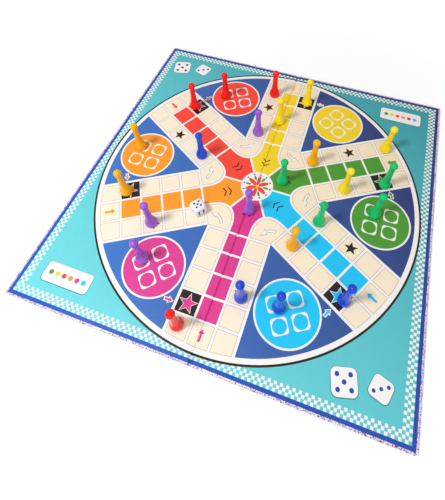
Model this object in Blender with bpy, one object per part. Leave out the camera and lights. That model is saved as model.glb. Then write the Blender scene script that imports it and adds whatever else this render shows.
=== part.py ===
"""Folding ludo board for six players, lying open, with twenty-four pawns and one die.

Metres, +Z up. The origin is under the middle of the board, in the plane that it lies on.
+X runs across the fold, +Y runs along it, and the printed side looks up.
"""

import math

import bmesh
import bpy
from mathutils import Matrix, Vector

# Print on the playing side, over both halves. The field of play is a circle on it
PRINT_WIDTH = 0.400
PRINT_LENGTH = 0.395
FIELD_BORDER = 0.0141
COLUMN = 0.0251
OUTER_ROW = 0.0262
YARD_INSET = 0.0354
YARD_STEP = 0.015

# Layers of one half, from the back up: cover paper, greyboard core, printed sheet
COVER_MARGIN = 0.0022
CORE_THICKNESS = 0.0018
PAPER_THICKNESS = 0.0003
LAYER_GAP = 0.0003

# Fold: the paper hinge between the halves, and how far its axis lies below the back
GUTTER_WIDTH = 0.0066
CREASE_DEPTH = 0.002
FOLD_DROP = 0.0003

# Pawns
PAWN_HEIGHT = 0.045
PAWN_RADIUS = 0.0071
HEAD_RADIUS = 0.0046
HEAD_HEIGHT = 0.0092
STAND_GAP = 0.0003

# Die
DIE_SIZE = 0.015
DIE_ROUNDING = 0.0028
PIP_RADIUS = 0.0012
PIP_DEPTH = 0.0006
PIP_STEP = 0.00275

# Counts and angles, and the lengths that only the making of the meshes needs
CUT_OVERRUN = 0.001
MERGE_DISTANCE = 0.000001
INNER_ROWS = 4
PAWN_SIDES = 12
HEAD_RINGS = 5
PIP_SIDES = 8
DIE_TURN = math.radians(-38)
SMOOTH_BELOW = math.radians(40)

# Worked out from the sizes above
BOARD_THICKNESS = CORE_THICKNESS + 2 * (PAPER_THICKNESS + LAYER_GAP)
HALF_WIDTH = PRINT_WIDTH / 2 + COVER_MARGIN
HALF_LENGTH = PRINT_LENGTH / 2 + COVER_MARGIN
HALF_GUTTER = GUTTER_WIDTH / 2
FIELD_RADIUS = PRINT_LENGTH / 2 - FIELD_BORDER
ARM_START = 1.5 * COLUMN * math.tan(math.radians(60))
ROW = (FIELD_RADIUS - ARM_START - OUTER_ROW) / INNER_ROWS
YARD_DISTANCE = FIELD_RADIUS - YARD_INSET
STAND_HEIGHT = BOARD_THICKNESS + STAND_GAP

# Direction of each colour's arm; its yard lies half a sector clockwise from it
ARM_ANGLES = {
    "green": 30,
    "yellow": 90,
    "red": 150,
    "orange": 210,
    "magenta": 270,
    "cyan": 330,
}
YARD_TURN = -30

# Side outline of a pawn below its head: shares of its radius and of its height
PAWN_OUTLINE_SHARES = (
    (0.0, 0.0),
    (0.84, 0.0),
    (0.95, 0.016),
    (1.0, 0.05),
    (0.99, 0.10),
    (0.87, 0.165),
    (0.69, 0.245),
    (0.57, 0.33),
    (0.51, 0.42),
    (0.48, 0.55),
    (0.47, 0.78),
)
NECK_SHARE = 0.47

# Pawns on the track: colour, arm, rows out from the arm's start, columns to the left of its middle
TRACK_SHARES = (
    ("red", "red", 3.72, -0.80),
    ("red", "yellow", 3.70, 0.91),
    ("red", "magenta", 4.60, -1.0),
    ("yellow", "yellow", 3.62, -0.98),
    ("yellow", "yellow", 1.72, 0.10),
    ("yellow", "green", 1.49, -1.03),
    ("yellow", "green", 4.59, 0.79),
    ("green", "green", -1.49, 0.0),
    ("green", "green", 3.64, -1.15),
    ("green", "cyan", 0.68, 0.80),
    ("blue", "red", 0.58, 0.90),
    ("blue", "magenta", 2.72, 0.98),
    ("blue", "cyan", 3.91, -0.95),
    ("purple", "yellow", 0.50, 0.94),
    ("purple", "magenta", -1.36, 0.06),
    ("purple", "orange", 2.63, 0.95),
    ("orange", "orange", 3.80, -0.88),
    ("orange", "green", 0.40, 0.76),
    ("orange", "cyan", 0.69, -0.88),
)

# Pawns in the yards: colour, arm that the yard belongs to, steps along X and Y from its middle
YARD_SHARES = (
    ("red", "red", -0.85, -0.23),
    ("green", "green", -0.72, 0.42),
    ("blue", "cyan", -0.73, 0.20),
    ("purple", "magenta", -0.86, 0.32),
    ("orange", "orange", -0.69, 0.51),
)
DIE_SHARES = ("orange", 0.29, 0.75)

# Pips of each face as steps from its middle
PIPS_SHARES = {
    1: ((0, 0),),
    2: ((-1, -1), (1, 1)),
    3: ((-1, -1), (0, 0), (1, 1)),
    4: ((-1, -1), (-1, 1), (1, -1), (1, 1)),
    5: ((-1, -1), (-1, 1), (0, 0), (1, -1), (1, 1)),
    6: ((-1, -1), (0, -1), (1, -1), (-1, 1), (0, 1), (1, 1)),
}
DIE_FACES = {5: "+Z", 2: "-Z", 6: "+X", 1: "-X", 3: "-Y", 4: "+Y"}

# Colour (linear RGB), roughness and metallic value of each finish
FINISHES = {
    "greyboard": ((0.30, 0.26, 0.21), 0.9, 0.0),
    "cover_paper": ((0.72, 0.62, 0.78), 0.55, 0.0),
    "printed_paper": ((0.05, 0.35, 0.45), 0.3, 0.0),
    "red_plastic": ((0.80, 0.01, 0.01), 0.2, 0.0),
    "yellow_plastic": ((0.90, 0.62, 0.01), 0.2, 0.0),
    "green_plastic": ((0.02, 0.30, 0.05), 0.2, 0.0),
    "blue_plastic": ((0.01, 0.05, 0.55), 0.2, 0.0),
    "purple_plastic": ((0.22, 0.07, 0.50), 0.2, 0.0),
    "orange_plastic": ((0.90, 0.36, 0.01), 0.2, 0.0),
    "white_plastic": ((0.85, 0.85, 0.85), 0.25, 0.0),
}


def clear_scene():
    for obj in list(bpy.data.objects):
        bpy.data.objects.remove(obj, do_unlink=True)


def finish(name):
    """The material of one finish, made at its first use."""
    material = bpy.data.materials.get(name)
    if material is None:
        colour, roughness, metallic = FINISHES[name]
        material = bpy.data.materials.new(name)
        material.use_nodes = True
        shader = material.node_tree.nodes["Principled BSDF"]
        shader.inputs["Base Color"].default_value = (*colour, 1.0)
        shader.inputs["Roughness"].default_value = roughness
        shader.inputs["Metallic"].default_value = metallic
        material.diffuse_color = (*colour, 1.0)
    return material


def add_object(name, mesh, location=(0, 0, 0), parent=None):
    """An object at a place in the world, hung on an unturned parent."""
    obj = bpy.data.objects.new(name, mesh)
    bpy.context.scene.collection.objects.link(obj)
    obj.parent = parent
    obj.location = Vector(location) - (parent.location if parent else Vector())
    return obj


def mesh_from(builder, name, finish_name):
    """The mesh of a bmesh, with its faces turned outwards."""
    bmesh.ops.remove_doubles(builder, verts=builder.verts, dist=MERGE_DISTANCE)
    bmesh.ops.recalc_face_normals(builder, faces=builder.faces)
    mesh = bpy.data.meshes.new(name)
    builder.to_mesh(mesh)
    builder.free()
    mesh.materials.append(finish(finish_name))
    return mesh


def box_mesh(name, low, high, finish_name):
    low, high = Vector(low), Vector(high)
    size = high - low
    builder = bmesh.new()
    bmesh.ops.create_cube(builder, size=1)
    bmesh.ops.scale(builder, vec=size, verts=builder.verts)
    bmesh.ops.translate(builder, vec=(low + high) / 2, verts=builder.verts)
    return mesh_from(builder, name, finish_name)


def cut(obj, cutter):
    """Takes a cutter out of an object and hides the cutter."""
    modifier = obj.modifiers.new(cutter.name, "BOOLEAN")
    modifier.operation = "DIFFERENCE"
    modifier.solver = "EXACT"
    modifier.object = cutter
    cutter.hide_render = True
    cutter.display_type = "WIRE"


def half_box(side, inner, outer, length, low, high):
    """Corners of a box on one half: inner and outer are distances from the fold."""
    left, right = sorted((side * inner, side * outer))
    return (left, -length, low), (right, length, high)


def half_object(name, corners, finish_name, axis):
    """A box of one half. Its origin lies on the axis that the half turns about."""
    place = axis.location if axis else Vector()
    low, high = (Vector(corner) - place for corner in corners)
    return add_object(name, box_mesh(name, low, high, finish_name), place, axis)


def add_half(label, side, axis):
    """Core, cover wrap and printed sheet of one half of the board."""
    layer = PAPER_THICKNESS + LAYER_GAP
    core = half_box(
        side,
        HALF_GUTTER,
        HALF_WIDTH - layer,
        HALF_LENGTH - layer,
        layer,
        layer + CORE_THICKNESS,
    )
    half_object(f"{label}_board_core", core, "greyboard", axis)

    shell = half_box(side, HALF_GUTTER, HALF_WIDTH, HALF_LENGTH, 0, BOARD_THICKNESS)
    wrap = half_object(f"{label}_cover_wrap", shell, "cover_paper", axis)
    room = half_box(
        side,
        HALF_GUTTER - CUT_OVERRUN,
        HALF_WIDTH - PAPER_THICKNESS,
        HALF_LENGTH - PAPER_THICKNESS,
        PAPER_THICKNESS,
        BOARD_THICKNESS - PAPER_THICKNESS,
    )
    window = half_box(
        side,
        HALF_GUTTER - CUT_OVERRUN,
        HALF_WIDTH - COVER_MARGIN,
        HALF_LENGTH - COVER_MARGIN,
        BOARD_THICKNESS / 2,
        BOARD_THICKNESS + CUT_OVERRUN,
    )
    cut(wrap, half_object(f"{label}_core_room", room, "cover_paper", axis))
    cut(wrap, half_object(f"{label}_print_window", window, "cover_paper", axis))

    sheet_edge = COVER_MARGIN + LAYER_GAP
    sheet = half_box(
        side,
        HALF_GUTTER,
        HALF_WIDTH - sheet_edge,
        HALF_LENGTH - sheet_edge,
        BOARD_THICKNESS - PAPER_THICKNESS,
        BOARD_THICKNESS,
    )
    half_object(f"{label}_face_sheet", sheet, "printed_paper", axis)


def add_crease():
    """The two papers that bridge the gutter and bend with the fold: a flat strip at the back,
    a valley above it."""
    reach = HALF_GUTTER - LAYER_GAP
    low = (-reach, -HALF_LENGTH, 0)
    high = (reach, HALF_LENGTH, PAPER_THICKNESS)
    strip = box_mesh("crease_cover_strip", low, high, "cover_paper")
    add_object("crease_cover_strip", strip)

    length = HALF_LENGTH - COVER_MARGIN - LAYER_GAP
    slope = math.atan2(CREASE_DEPTH, reach)
    drop = PAPER_THICKNESS / math.cos(slope)
    top = BOARD_THICKNESS
    outline = (
        (-reach, top),
        (-reach, top - drop),
        (0, top - CREASE_DEPTH - drop),
        (reach, top - drop),
        (reach, top),
        (0, top - CREASE_DEPTH),
    )
    builder = bmesh.new()
    builder.faces.new([builder.verts.new((x, -length, z)) for x, z in outline])
    swept = bmesh.ops.extrude_face_region(builder, geom=list(builder.faces))["geom"]
    moved = [item for item in swept if isinstance(item, bmesh.types.BMVert)]
    bmesh.ops.translate(builder, vec=(0, 2 * length, 0), verts=moved)
    valley = mesh_from(builder, "crease_face_strip", "printed_paper")
    add_object("crease_face_strip", valley)


def pawn_profile():
    """Radius and height of each ring, from the middle of the base to the top of the head."""
    neck = NECK_SHARE * PAWN_RADIUS
    centre = PAWN_HEIGHT - HEAD_HEIGHT / 2
    start = -math.acos(neck / HEAD_RADIUS)
    rings = [(r * PAWN_RADIUS, z * PAWN_HEIGHT) for r, z in PAWN_OUTLINE_SHARES]
    for ring in range(HEAD_RINGS + 1):
        turn = start + (math.pi / 2 - start) * ring / HEAD_RINGS
        height = centre + HEAD_HEIGHT / 2 * math.sin(turn)
        rings.append((HEAD_RADIUS * max(math.cos(turn), 0), height))
    rings[-1] = (0, PAWN_HEIGHT)
    return rings


def pawn_mesh(colour):
    """A pawn turned about the vertical through its base."""
    builder = bmesh.new()
    points = [builder.verts.new((r, 0, z)) for r, z in pawn_profile()]
    edges = [builder.edges.new(pair) for pair in zip(points, points[1:])]
    bmesh.ops.spin(
        builder,
        geom=points + edges,
        cent=(0, 0, 0),
        axis=(0, 0, 1),
        angle=math.tau,
        steps=PAWN_SIDES,
        use_merge=True,
    )
    mesh = mesh_from(builder, f"{colour}_pawn", f"{colour}_plastic")
    mesh.shade_smooth()
    mesh.set_sharp_from_angle(angle=SMOOTH_BELOW)
    return mesh


def track_place(arm, rows, columns):
    """The point so many rows out along an arm and so many columns to its left."""
    angle = math.radians(ARM_ANGLES[arm])
    outwards = Vector((math.cos(angle), math.sin(angle), 0))
    leftwards = Vector((-math.sin(angle), math.cos(angle), 0))
    return outwards * (ARM_START + rows * ROW) + leftwards * (columns * COLUMN)


def yard_place(arm, across, along):
    angle = math.radians(ARM_ANGLES[arm] + YARD_TURN)
    middle = Vector((math.cos(angle), math.sin(angle), 0)) * YARD_DISTANCE
    return middle + Vector((across, along, 0)) * YARD_STEP


def add_pawns(fold_axis):
    """Every pawn on its place. A pawn right of the fold hangs on the fold's axis."""
    places = [(row[0], track_place(*row[1:])) for row in TRACK_SHARES]
    places += [(row[0], yard_place(*row[1:])) for row in YARD_SHARES]
    meshes, counts = {}, {}
    for colour, place in places:
        if colour not in meshes:
            meshes[colour] = pawn_mesh(colour)
        counts[colour] = counts.get(colour, 0) + 1
        name = f"{colour}_pawn_{counts[colour]}"
        parent = fold_axis if place.x > 0 else None
        add_object(name, meshes[colour], place + Vector((0, 0, STAND_HEIGHT)), parent)


def pip_cutter(place):
    """All twenty-one pips as short prisms that stand half out of the die's faces."""
    half = DIE_SIZE / 2
    turns = {
        "+Z": Matrix.Identity(3),
        "-Z": Matrix.Rotation(math.pi, 3, "X"),
        "+X": Matrix.Rotation(math.pi / 2, 3, "Y"),
        "-X": Matrix.Rotation(-math.pi / 2, 3, "Y"),
        "+Y": Matrix.Rotation(-math.pi / 2, 3, "X"),
        "-Y": Matrix.Rotation(math.pi / 2, 3, "X"),
    }
    builder = bmesh.new()
    for count, face in DIE_FACES.items():
        for across, along in PIPS_SHARES[count]:
            centre = Vector((across * PIP_STEP, along * PIP_STEP, half))
            turn = turns[face].to_4x4()
            bmesh.ops.create_cone(
                builder,
                cap_ends=True,
                segments=PIP_SIDES,
                radius1=PIP_RADIUS,
                radius2=PIP_RADIUS,
                depth=2 * PIP_DEPTH,
                matrix=turn @ Matrix.Translation(centre),
            )
    cutter = add_object("pips", mesh_from(builder, "pips", "white_plastic"), place)
    cutter.rotation_euler.z = DIE_TURN
    return cutter


def add_die():
    """A die with rounded edges and sunk pips, five on top."""
    place = track_place(*DIE_SHARES) + Vector((0, 0, STAND_HEIGHT + DIE_SIZE / 2))
    builder = bmesh.new()
    bmesh.ops.create_cube(builder, size=DIE_SIZE)
    bmesh.ops.bevel(
        builder,
        geom=list(builder.edges),
        offset=DIE_ROUNDING,
        segments=3,
        profile=0.5,
        affect="EDGES",
        material=-1,
    )
    die = add_object("die", mesh_from(builder, "die", "white_plastic"), place)
    die.rotation_euler.z = DIE_TURN
    cut(die, pip_cutter(place))


def main():
    clear_scene()
    fold_axis = add_object("fold_axis", None, (0, 0, -FOLD_DROP))
    add_half("left", -1, None)
    add_half("right", 1, fold_axis)
    add_crease()
    add_pawns(fold_axis)
    add_die()


main()
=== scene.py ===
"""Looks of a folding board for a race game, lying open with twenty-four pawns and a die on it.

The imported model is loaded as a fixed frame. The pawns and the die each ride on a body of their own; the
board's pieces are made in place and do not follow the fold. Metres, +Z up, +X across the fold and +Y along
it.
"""

import logging
import math
from collections.abc import Iterable, Sequence
from dataclasses import dataclass, field
from enum import Enum

import bmesh
import bpy
from mathutils import Matrix, Vector


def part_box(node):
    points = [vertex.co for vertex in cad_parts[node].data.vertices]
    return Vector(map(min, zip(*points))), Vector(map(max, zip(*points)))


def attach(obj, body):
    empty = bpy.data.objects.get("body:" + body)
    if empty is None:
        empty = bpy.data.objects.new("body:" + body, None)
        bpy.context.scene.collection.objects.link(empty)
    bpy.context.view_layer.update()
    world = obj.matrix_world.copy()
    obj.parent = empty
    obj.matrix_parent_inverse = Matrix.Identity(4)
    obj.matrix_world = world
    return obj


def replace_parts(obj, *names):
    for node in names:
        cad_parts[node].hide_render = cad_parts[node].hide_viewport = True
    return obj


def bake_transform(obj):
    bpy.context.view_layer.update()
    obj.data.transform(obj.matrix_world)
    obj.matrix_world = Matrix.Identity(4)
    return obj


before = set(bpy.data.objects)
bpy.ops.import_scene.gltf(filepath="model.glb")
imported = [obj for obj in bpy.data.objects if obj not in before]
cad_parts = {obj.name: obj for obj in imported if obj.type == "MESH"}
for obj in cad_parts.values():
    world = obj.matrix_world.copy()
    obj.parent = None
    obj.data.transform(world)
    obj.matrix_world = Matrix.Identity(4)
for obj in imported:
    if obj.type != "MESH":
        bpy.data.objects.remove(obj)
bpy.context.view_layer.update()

LOG = logging.getLogger("ludo_board")

# Half of the angle between two arms, in degrees
HALF_SECTOR = 30
# How much farther than its sides an outline pushes out an arrow's tip and its wings
TIP_GROWTH, WING_GROWTH = 1.8, 1.3

Colour = tuple[int, int, int]
Point = tuple[float, float]
Shape = bmesh.types.BMesh
Socket = bpy.types.NodeSocket


class Player(Enum):
    """The six colours of the print, each with the direction of its arm in degrees."""

    GREEN = 30
    YELLOW = 90
    RED = 150
    ORANGE = 210
    MAGENTA = 270
    CYAN = 330

    @property
    def ink(self) -> str:
        """The name of the player's ink."""
        return f"{self.name.lower()}_ink"

    @property
    def sector(self) -> int:
        """The direction of the player's sector and yard, clockwise of the arm."""
        return self.value - HALF_SECTOR


class Level(Enum):
    """How many films of ink lie below the top of a printed shape."""

    GROUND = 1
    FIELD = 2
    CELL = 3
    LINE = 4
    OUTLINE = 5
    FILL = 6
    MARK = 7
    SPOT = 8
    TOP = 9


class Half(Enum):
    """The two bodies that the fold joins."""

    LEFT = "left_half"
    RIGHT = "right_half"


# Spots of each face of a die, as steps from its middle
PIPS_SHARES: dict[int, tuple[Point, ...]] = {
    1: ((0, 0),),
    2: ((-1, -1), (1, 1)),
    3: ((-1, -1), (0, 0), (1, 1)),
    4: ((-1, -1), (-1, 1), (1, -1), (1, 1)),
    5: ((-1, -1), (-1, 1), (0, 0), (1, -1), (1, 1)),
    6: ((-1, -1), (0, -1), (1, -1), (-1, 1), (0, 1), (1, 1)),
}


def linear(colour: Colour) -> tuple[float, float, float, float]:
    """Turn a colour as it looks on a screen into linear light.

    Args:
        colour: Red, green and blue from 0 to 255.

    Returns:
        Red, green, blue and an alpha of 1, from 0 to 1.
    """
    shares = (part / 255 for part in colour)
    return (*(s / 12.92 if s <= 0.04045 else ((s + 0.055) / 1.055) ** 2.4 for s in shares), 1.0)


class NodeTree:
    """A shader tree with short ways to add nodes and to join them."""

    def __init__(self, tree: bpy.types.NodeTree) -> None:
        """Empty the tree.

        Args:
            tree: The tree of a material, a world or a node group.
        """
        self.tree = tree
        self.tree.nodes.clear()

    def add(self, kind: str, inputs: dict | None = None, **settings: object) -> bpy.types.Node:
        """Add a node.

        Args:
            kind: The node's type in Blender.
            inputs: A value or an output socket for each named or numbered input.
            settings: The node's own properties.

        Returns:
            The new node.
        """
        node = self.tree.nodes.new(kind)
        node.location.x = 200 * len(self.tree.nodes)
        for name, value in settings.items():
            setattr(node, name, value)
        for name, value in (inputs or {}).items():
            if isinstance(value, Socket):
                self.tree.links.new(value, node.inputs[name])
            else:
                node.inputs[name].default_value = value
        return node

    def math(self, operation: str, *values: object, clamp: bool = False) -> Socket:
        """Add a Math node and give its result."""
        node = self.add("ShaderNodeMath", dict(enumerate(values)), operation=operation, use_clamp=clamp)
        return node.outputs[0]

    def mix(self, share: object, first: object, second: object) -> Socket:
        """Mix two colours.

        Args:
            share: How much of the second colour there is.
            first: The first colour.
            second: The second colour.

        Returns:
            The mixed colour's socket.
        """
        inputs = {0: share, 6: first, 7: second}
        return self.add("ShaderNodeMix", inputs, data_type="RGBA", clamp_factor=True).outputs[2]

    def ramp(self, share: object, low: float, high: float) -> Socket:
        """Spread the values between two bounds over 0 to 1, with soft ends.

        Args:
            share: The value.
            low: What becomes 0.
            high: What becomes 1.

        Returns:
            The spread value's socket.
        """
        inputs = {"Value": share, "From Min": low, "From Max": high}
        return self.add("ShaderNodeMapRange", inputs, interpolation_type="SMOOTHSTEP").outputs["Result"]

    def noise(self, vector: object, scale: object, detail: float = 2.0) -> Socket:
        """Add a noise texture and give its value."""
        node = self.add("ShaderNodeTexNoise", {"Vector": vector, "Scale": scale, "Detail": detail})
        return node.outputs["Fac"]


def node_group(name: str, inputs: dict, outputs: dict) -> tuple[NodeTree, bpy.types.Node]:
    """Start a shader node group.

    Args:
        name: The group's name.
        inputs: Its number inputs with their usual values.
        outputs: Its outputs with their socket types.

    Returns:
        The group's tree and its input node.
    """
    tree = bpy.data.node_groups.new(name, "ShaderNodeTree")
    for label, value in inputs.items():
        socket = tree.interface.new_socket(label, in_out="INPUT", socket_type="NodeSocketFloat")
        socket.default_value = value
    for label, kind in outputs.items():
        tree.interface.new_socket(label, in_out="OUTPUT", socket_type=kind)
    work = NodeTree(tree)
    return work, work.add("NodeGroupInput")


def build_board_light() -> bpy.types.NodeTree:
    """Build the group that says how far a point lies from the near left corner to the far right one.

    Returns:
        The group. Its Share output runs from 0 to 1, and its Mottle output is a fine uneven value.
    """
    work, given = node_group(
        "board_light",
        {"Reach": 0.2, "Across": 0.5, "Mottle Scale": 900.0},
        {"Share": "NodeSocketFloat", "Mottle": "NodeSocketFloat"},
    )
    place = work.add("ShaderNodeTexCoord").outputs["Object"]
    axes = work.add("ShaderNodeSeparateXYZ", {0: place})
    across = work.math("MULTIPLY", axes.outputs["X"], given.outputs["Across"])
    rest = work.math("SUBTRACT", 1.0, given.outputs["Across"])
    both = work.math("MULTIPLY_ADD", axes.outputs["Y"], rest, across)
    share = work.math("DIVIDE", both, work.math("MULTIPLY", given.outputs["Reach"], 2.0))
    middle = work.math("ADD", share, 0.5, clamp=True)
    fine = work.noise(place, given.outputs["Mottle Scale"], detail=3.0)
    work.add("NodeGroupOutput", {"Share": middle, "Mottle": fine})
    return work.tree


def build_film() -> bpy.types.NodeTree:
    """Build the group for the clear film over paper: a faint orange peel, rubbed patches and hair scratches.

    Returns:
        The group, with a Roughness and a Normal output.
    """
    patch_scale, patch_span, peel_scale = 28.0, (0.45, 0.75), 420.0
    scratch_scale, scratch_turn, scratch_span = (40.0, 900.0, 1.0), 0.35, (0.68, 0.74)
    work, given = node_group(
        "clear_film",
        {"Roughness": 0.25, "Rub": 0.08, "Relief": 0.1},
        {"Roughness": "NodeSocketFloat", "Normal": "NodeSocketVector"},
    )
    place = work.add("ShaderNodeTexCoord").outputs["Object"]
    patches = work.ramp(work.noise(place, patch_scale, detail=4.0), *patch_span)
    stretched = work.add("ShaderNodeMapping", {"Vector": place, "Scale": scratch_scale})
    lean = (0.0, 0.0, scratch_turn)
    leaning = work.add("ShaderNodeMapping", {"Vector": stretched.outputs[0], "Rotation": lean})
    scratches = work.ramp(work.noise(leaning.outputs[0], 1.0, detail=0.0), *scratch_span)
    rub = work.math("MULTIPLY", work.math("ADD", patches, scratches), given.outputs["Rub"])
    peel = work.noise(place, peel_scale, detail=1.0)
    relief = {"Strength": given.outputs["Relief"], "Distance": 0.0002, "Height": peel}
    bump = work.add("ShaderNodeBump", relief)
    roughness = work.math("ADD", given.outputs["Roughness"], rub)
    work.add("NodeGroupOutput", {"Roughness": roughness, "Normal": bump.outputs["Normal"]})
    return work.tree


def build_moulding() -> bpy.types.NodeTree:
    """Build the group for moulded plastic: soft flow marks, scuffs and a slightly uneven skin.

    Returns:
        The group, with a Flow, a Roughness and a Normal output.
    """
    flow_scale, skin_scale, scuff_scale, scuff_span = 70.0, 160.0, 520.0, (0.56, 0.72)
    work, given = node_group(
        "moulded_skin",
        {"Roughness": 0.16, "Scuff": 0.12, "Relief": 0.12},
        {"Flow": "NodeSocketFloat", "Roughness": "NodeSocketFloat", "Normal": "NodeSocketVector"},
    )
    place = work.add("ShaderNodeTexCoord").outputs["Object"]
    flow = work.noise(place, flow_scale, detail=2.0)
    scuffs = work.ramp(work.noise(place, scuff_scale, detail=4.0), *scuff_span)
    skin = work.noise(place, skin_scale, detail=1.0)
    relief = {"Strength": given.outputs["Relief"], "Distance": 0.0004, "Height": skin}
    bump = work.add("ShaderNodeBump", relief)
    roughness = work.math("MULTIPLY_ADD", scuffs, given.outputs["Scuff"], given.outputs["Roughness"])
    work.add("NodeGroupOutput", {"Flow": flow, "Roughness": roughness, "Normal": bump.outputs["Normal"]})
    return work.tree


GROUP_BUILDERS = {
    "board_light": build_board_light,
    "clear_film": build_film,
    "moulded_skin": build_moulding,
}


def group_in(work: NodeTree, name: str, values: dict[str, float]) -> bpy.types.Node:
    """Place a shared node group in a tree, and build it at its first use.

    Args:
        work: The tree that uses the group.
        name: The group's name.
        values: Its input values.

    Returns:
        The group's node.
    """
    group = bpy.data.node_groups.get(name) or GROUP_BUILDERS[name]()
    return work.add("ShaderNodeGroup", values, node_tree=group)


@dataclass(frozen=True)
class Finish:
    """A named material. Each kind of finish fills its node tree in its own way."""

    name: str

    def material(self) -> bpy.types.Material:
        """Give the material.

        Returns:
            The material, made at its first use.
        """
        made = bpy.data.materials.get(self.name)
        if made is None:
            made = bpy.data.materials.new(self.name)
            made.use_nodes = True
            self.shade(NodeTree(made.node_tree))
        return made

    def shade(self, work: NodeTree) -> None:
        """Fill the material's empty tree."""
        raise NotImplementedError

    @staticmethod
    def close(work: NodeTree, colour: object, roughness: object, normal: object, specular: float) -> None:
        """End the tree in one Principled shader.

        Args:
            work: The material's tree.
            colour: The base colour's socket.
            roughness: The roughness, as a number or a socket.
            normal: The normal's socket.
            specular: How strongly the surface mirrors, where 0.5 is usual.
        """
        inputs = {"Base Color": colour, "Roughness": roughness, "Normal": normal}
        shader = work.add("ShaderNodeBsdfPrincipled", {**inputs, "Specular IOR Level": specular})
        work.add("ShaderNodeOutputMaterial", {"Surface": shader.outputs[0]})


@dataclass(frozen=True)
class Ink(Finish):
    """One printed colour under clear film, lighter at the near left corner and darker at the far right one:
    partly the print's own tone and partly painted light falling from the near left.

    Its share across says how much of that change happens across the fold, and not along it.
    """

    near: Colour
    far: Colour
    across: float = 0.5
    roughness: float = 0.24
    specular: float = 0.4
    grain: float = 0.06
    grain_span: Point = (0.3, 0.7)
    dimmest: float = 0.95

    def shade(self, work: NodeTree) -> None:
        """Fill the tree: the colour running from near to far, partly painted light, with a fine grain, under
        the film.

        Args:
            work: The material's empty tree.
        """
        light = group_in(work, "board_light", {"Across": self.across})
        film = group_in(work, "clear_film", {"Roughness": self.roughness})
        # Painted light in part: the mix from the lighter near colour to the darker far one stands partly for
        # light from the near left
        tone_and_painted_light = work.mix(light.outputs["Share"], linear(self.near), linear(self.far))
        grain = work.ramp(light.outputs["Mottle"], *self.grain_span)
        depth = work.math("MULTIPLY_ADD", grain, self.grain, self.dimmest)
        tint = work.add("ShaderNodeVectorMath", {0: tone_and_painted_light, "Scale": depth}, operation="SCALE")
        self.close(work, tint.outputs[0], *film.outputs, self.specular)


@dataclass(frozen=True)
class FleckedPaper(Finish):
    """Filmed cover paper: a pale lilac ground with short pink and plum flecks."""

    name: str = "flecked_cover_paper"
    ground: Colour = (242, 230, 245)
    blush: Colour = (230, 208, 230)
    plum: Colour = (112, 78, 128)
    roughness: float = 0.35
    specular: float = 0.4
    relief: float = 0.2
    cloud_scale: float = 260.0
    cloud_span: Point = (0.42, 0.62)
    fine_scale: float = 1400.0
    fine_span: Point = (0.56, 0.61)
    coarse_scale: float = 800.0
    coarse_span: Point = (0.58, 0.62)

    def shade(self, work: NodeTree) -> None:
        """Fill the tree: a clouded ground with fine and coarse flecks, under the film.

        Args:
            work: The material's empty tree.
        """
        place = work.add("ShaderNodeTexCoord").outputs["Object"]
        film = group_in(work, "clear_film", {"Roughness": self.roughness, "Relief": self.relief})
        cloud = work.ramp(work.noise(place, self.cloud_scale, detail=3.0), *self.cloud_span)
        base = work.mix(cloud, linear(self.ground), linear(self.blush))
        fine = work.ramp(work.noise(place, self.fine_scale, detail=1.0), *self.fine_span)
        coarse = work.ramp(work.noise(place, self.coarse_scale, detail=1.0), *self.coarse_span)
        flecks = work.math("MAXIMUM", fine, coarse)
        colour = work.mix(flecks, base, linear(self.plum))
        self.close(work, colour, *film.outputs, self.specular)


@dataclass(frozen=True)
class Greyboard(Finish):
    """Bare grey cardboard with pressed fibres."""

    name: str = "bare_greyboard"
    pale: Colour = (168, 160, 148)
    dark: Colour = (124, 114, 102)
    roughness: float = 0.92
    specular: float = 0.5
    fibre_scale: float = 700.0
    fibre_span: Point = (0.3, 0.7)
    flatness: float = 9.0
    relief: float = 0.6

    def shade(self, work: NodeTree) -> None:
        """Fill the tree: flat fibres in two greys.

        Args:
            work: The material's empty tree.
        """
        place = work.add("ShaderNodeTexCoord").outputs["Object"]
        layered = work.add("ShaderNodeMapping", {"Vector": place, "Scale": (1.0, 1.0, self.flatness)})
        fibres = work.noise(layered.outputs[0], self.fibre_scale, detail=5.0)
        bump = work.add("ShaderNodeBump", {"Strength": self.relief, "Distance": 0.0002, "Height": fibres})
        colour = work.mix(work.ramp(fibres, *self.fibre_span), linear(self.dark), linear(self.pale))
        self.close(work, colour, self.roughness, bump.outputs["Normal"], self.specular)


@dataclass(frozen=True)
class Plastic(Finish):
    """Glossy moulded plastic. Its colour pools a little deeper where the moulding flowed."""

    light: Colour
    deep: Colour
    roughness: float = 0.19
    specular: float = 0.3
    flow_span: Point = (0.35, 0.65)

    def shade(self, work: NodeTree) -> None:
        """Fill the tree: two depths of one colour under a moulded skin.

        Args:
            work: The material's empty tree.
        """
        skin = group_in(work, "moulded_skin", {"Roughness": self.roughness})
        share = work.ramp(skin.outputs["Flow"], *self.flow_span)
        colour = work.mix(share, linear(self.light), linear(self.deep))
        self.close(work, colour, *skin.outputs[1:], self.specular)


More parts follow.
